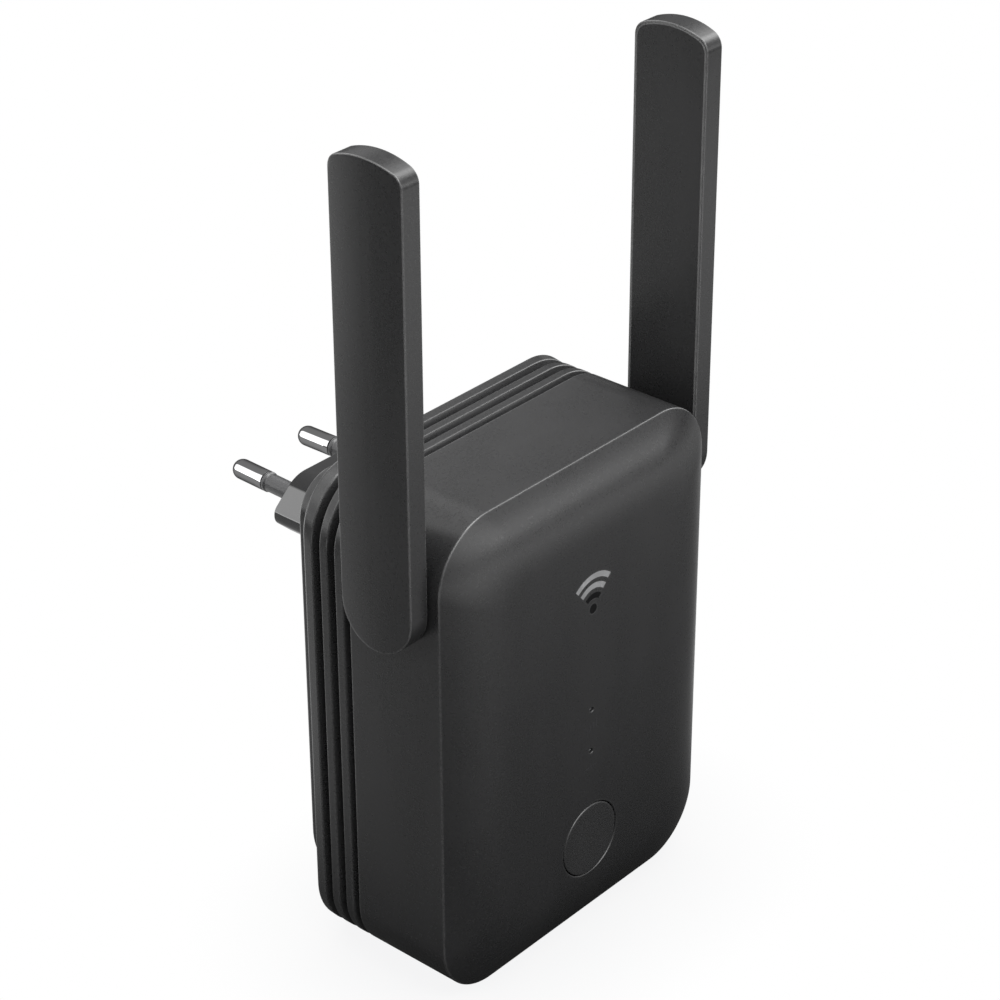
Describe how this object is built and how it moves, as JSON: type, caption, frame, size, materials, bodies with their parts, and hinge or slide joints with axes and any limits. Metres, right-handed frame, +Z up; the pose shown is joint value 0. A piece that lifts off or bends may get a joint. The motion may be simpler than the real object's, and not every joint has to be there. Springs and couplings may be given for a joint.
{
  "type": "wifi range extender",
  "caption": "Charcoal plug-in wifi range extender: upright rounded case with domed front, ringed vent grooves, round flat two-pin mains plug behind and two fold-out paddle antennas.",
  "frame": {"origin": "centre of the plug's end face, on the line midway between the two mains pins", "axes": "+Y out along the mains pins into the wall, -Y out of the front face, +Z up along the raised antennas, +X to the right seen from the front"},
  "size_m": [0.082, 0.0809, 0.1656],
  "materials": {
    "case_plastic": "fine-grained moulded charcoal ABS/PC, satin to matt",
    "rear_plastic": "fine-grained moulded charcoal ABS/PC, matt",
    "antenna_plastic": "fine-grained moulded charcoal ABS/PC, satin to matt",
    "button_plastic": "fine-grained moulded charcoal plastic, slightly smoother than the case",
    "plug_plastic": "smooth polished black",
    "sleeve_plastic": "semi-matt dark grey nylon",
    "pin_metal": "bright nickel-plated brass",
    "contact_metal": "bare spring bronze",
    "circuit_board": "green solder mask",
    "ferrite": "sintered ferrite, dull",
    "winding_tape": "polyester tape",
    "capacitor_sleeve": "shrink sleeve",
    "component_black": "moulded epoxy",
    "fuse_glass": "clear",
    "thermal_pad": "soft silicone pad",
    "tinned_steel": "tin plated",
    "clear_plastic": "clear acrylic",
    "white_plastic": "plain",
    "badge_metal": "two-tone satin inlay",
    "screw_steel": "zinc plated",
    "cable_jacket": "smooth extruded jacket",
    "connector_brass": "gold flashed"
  },
  "bodies": {
    "case": {"front_housing": "case_plastic", "rear_housing": "rear_plastic", "plug_block": "plug_plastic", "plug_pin_left": "pin_metal", "plug_pin_right": "pin_metal", "pin_sleeve_left": "sleeve_plastic", "pin_sleeve_right": "sleeve_plastic", "friction_washer_left": "sleeve_plastic", "friction_washer_right": "sleeve_plastic", "mains_contact_left": "contact_metal", "mains_contact_right": "contact_metal", "power_board": "circuit_board", "main_board": "circuit_board", "transformer_core": "ferrite", "line_choke": "ferrite", "transformer_winding": "winding_tape", "bulk_capacitor_upper": "capacitor_sleeve", "bulk_capacitor_lower": "capacitor_sleeve", "output_capacitor": "capacitor_sleeve", "bridge_rectifier": "component_black", "board_link_header": "component_black", "wifi_chip": "component_black", "switch_body": "component_black", "mains_fuse": "fuse_glass", "thermal_pad": "thermal_pad", "rf_shield": "tinned_steel", "ethernet_jack": "tinned_steel", "light_pipe_upper": "clear_plastic", "light_pipe_lower": "clear_plastic", "status_led_upper": "white_plastic", "status_led_lower": "white_plastic", "front_badge": "badge_metal", "case_screw_1": "screw_steel", "case_screw_2": "screw_steel", "case_screw_3": "screw_steel", "case_screw_4": "screw_steel", "main_board_screw_1": "screw_steel", "main_board_screw_2": "screw_steel", "main_board_screw_3": "screw_steel", "main_board_screw_4": "screw_steel", "power_board_screw_1": "screw_steel", "power_board_screw_2": "screw_steel", "coax_pigtail_left": "cable_jacket", "coax_pigtail_right": "cable_jacket", "coax_connector_left": "connector_brass", "coax_connector_right": "connector_brass"},
    "antenna_left": {"antenna_shell_left": "antenna_plastic", "antenna_cover_left": "antenna_plastic", "antenna_element_left": "circuit_board", "antenna_coax_left": "cable_jacket", "pivot_clip_left": "screw_steel"},
    "antenna_right": {"antenna_shell_right": "antenna_plastic", "antenna_cover_right": "antenna_plastic", "antenna_element_right": "circuit_board", "antenna_coax_right": "cable_jacket", "pivot_clip_right": "screw_steel"},
    "pair_button": {"pair_button": "button_plastic", "switch_plunger": "white_plastic"}
  },
  "joints": [
    {"name": "antenna_left_fold", "type": "hinge", "parent": "case", "child": "antenna_left", "pos_m": [-0.03642, -0.04768, 0.00957], "axis": [1, 0, 0], "range_deg": [0, 180]},
    {"name": "antenna_right_fold", "type": "hinge", "parent": "case", "child": "antenna_right", "pos_m": [0.03642, -0.04768, 0.00957], "axis": [1, 0, 0], "range_deg": [0, 180]},
    {"name": "pair_button_press", "type": "slide", "parent": "case", "child": "pair_button", "axis": [0, 1, 0], "range_m": [0, 0.0005], "stiffness_N_per_m": 3000}
  ]
}
